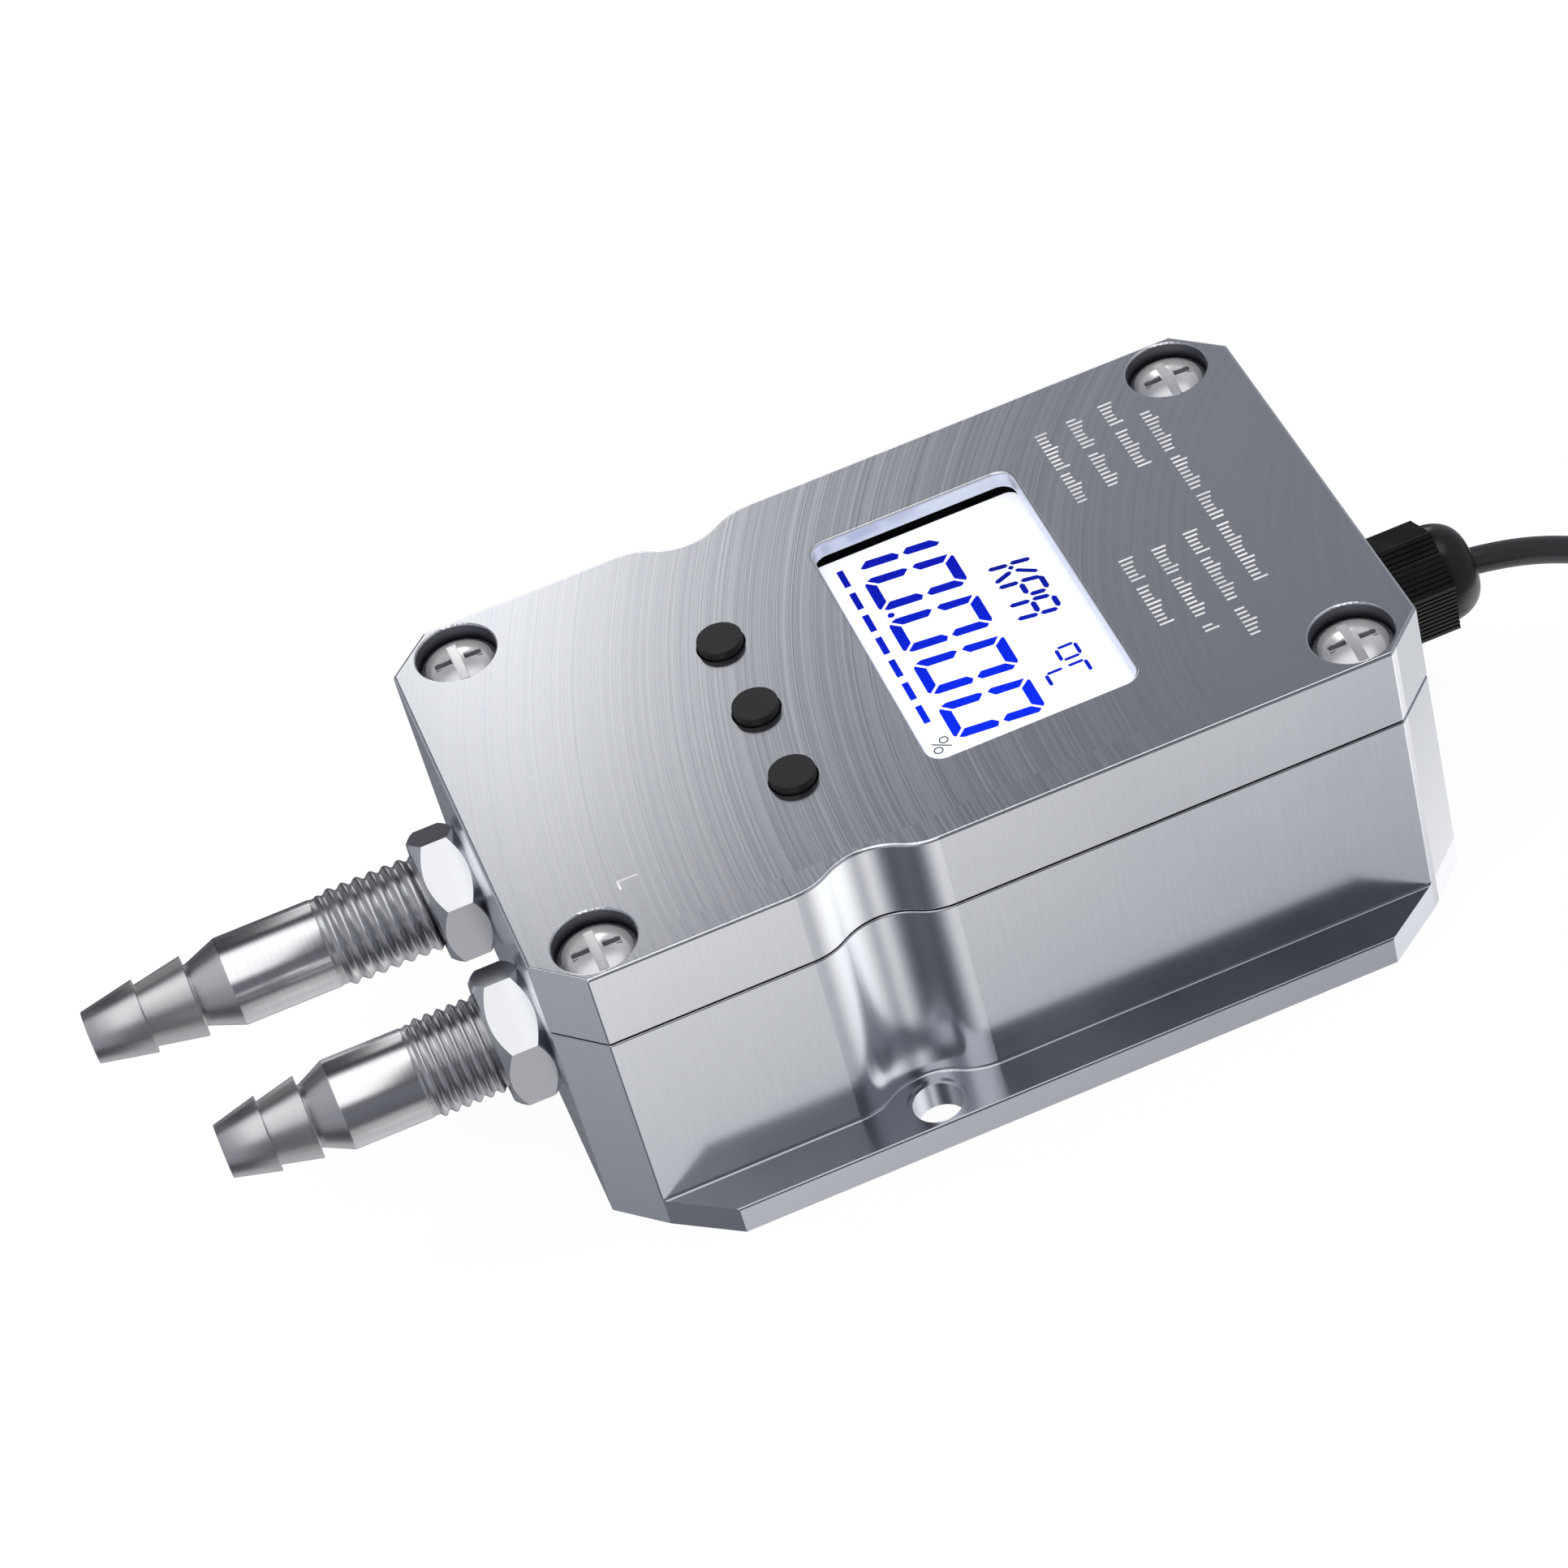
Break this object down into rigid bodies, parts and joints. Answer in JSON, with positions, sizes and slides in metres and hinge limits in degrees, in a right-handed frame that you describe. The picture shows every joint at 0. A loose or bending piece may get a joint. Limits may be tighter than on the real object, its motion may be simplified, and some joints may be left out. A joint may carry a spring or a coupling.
{
  "type": "differential pressure transmitter",
  "caption": "Aluminium box differential pressure transmitter with flanged base, backlit digit display, push buttons, hose barb ports and a cable gland lead.",
  "frame": {"origin": "centre of the flat mounting face under the base, midway between the barb end and the gland end", "axes": "+Z out through the lid away from the mounting surface, +X towards the cable gland, -X towards the hose barbs, the mounting flanges along -Y and +Y"},
  "size_m": [0.2778, 0.1107, 0.0452],
  "materials": {
    "housing_metal": "brushed and lightly polished",
    "seal_rubber": "matt",
    "clear_pane": "clear",
    "black_plastic": "matt",
    "display_glass": "backlit",
    "light_guide": "milky",
    "board": "solder mask",
    "sensor_plastic": "moulded",
    "turned_metal": "turned and plated",
    "silicone": "translucent",
    "terminal_plastic": "moulded",
    "ribbon_plastic": "ribbed",
    "gland_nylon": "moulded",
    "cable_jacket": "semi-gloss",
    "core_red": "insulation",
    "core_black": "insulation",
    "screw_steel": "zinc plated",
    "switch_plastic": "moulded",
    "button_plastic": "charcoal"
  },
  "bodies": {
    "housing": {"base_housing": "housing_metal", "lid": "housing_metal", "lid_gasket": "seal_rubber", "window_lens": "clear_pane", "lcd_frame": "black_plastic", "lcd_glass": "display_glass", "backlight": "light_guide", "display_board": "board", "main_board": "board", "pressure_sensor": "sensor_plastic", "hose_barb_high": "turned_metal", "hose_barb_low": "turned_metal", "lock_nut_high": "turned_metal", "lock_nut_low": "turned_metal", "sensor_tube_high": "silicone", "sensor_tube_low": "silicone", "terminal_block": "terminal_plastic", "header_display": "black_plastic", "header_main": "black_plastic", "board_ribbon": "ribbon_plastic", "gland_washer": "seal_rubber", "gland_body": "gland_nylon", "gland_lock_nut": "gland_nylon", "gland_seal": "seal_rubber", "gland_nut": "gland_nylon", "cable_inner": "cable_jacket", "cable": "cable_jacket", "cable_coil": "cable_jacket", "cable_end": "cable_jacket", "core_1": "core_red", "core_2": "core_black", "lead_1": "core_red", "lead_2": "core_black", "lid_screw_1": "screw_steel", "lid_screw_2": "screw_steel", "lid_screw_3": "screw_steel", "lid_screw_4": "screw_steel", "display_board_screw_1": "screw_steel", "display_board_screw_2": "screw_steel", "display_board_screw_3": "screw_steel", "display_board_screw_4": "screw_steel", "main_board_screw_1": "screw_steel", "main_board_screw_2": "screw_steel", "main_board_screw_3": "screw_steel", "main_board_screw_4": "screw_steel", "lid_washer_1": "screw_steel", "lid_washer_2": "screw_steel", "lid_washer_3": "screw_steel", "lid_washer_4": "screw_steel", "tact_switch_1": "switch_plastic", "tact_switch_2": "switch_plastic", "tact_switch_3": "switch_plastic"},
    "button_1": {"button_1": "button_plastic", "switch_plunger_1": "switch_plastic"},
    "button_2": {"button_2": "button_plastic", "switch_plunger_2": "switch_plastic"},
    "button_3": {"button_3": "button_plastic", "switch_plunger_3": "switch_plastic"}
  },
  "joints": [
    {"name": "press_1", "type": "slide", "parent": "housing", "child": "button_1", "axis": [0, 0, -1], "range_m": [0, 0.0004], "stiffness_N_per_m": 500, "springref_m": -0.002},
    {"name": "press_2", "type": "slide", "parent": "housing", "child": "button_2", "axis": [0, 0, -1], "range_m": [0, 0.0004], "stiffness_N_per_m": 500, "springref_m": -0.002},
    {"name": "press_3", "type": "slide", "parent": "housing", "child": "button_3", "axis": [0, 0, -1], "range_m": [0, 0.0004], "stiffness_N_per_m": 500, "springref_m": -0.002}
  ]
}
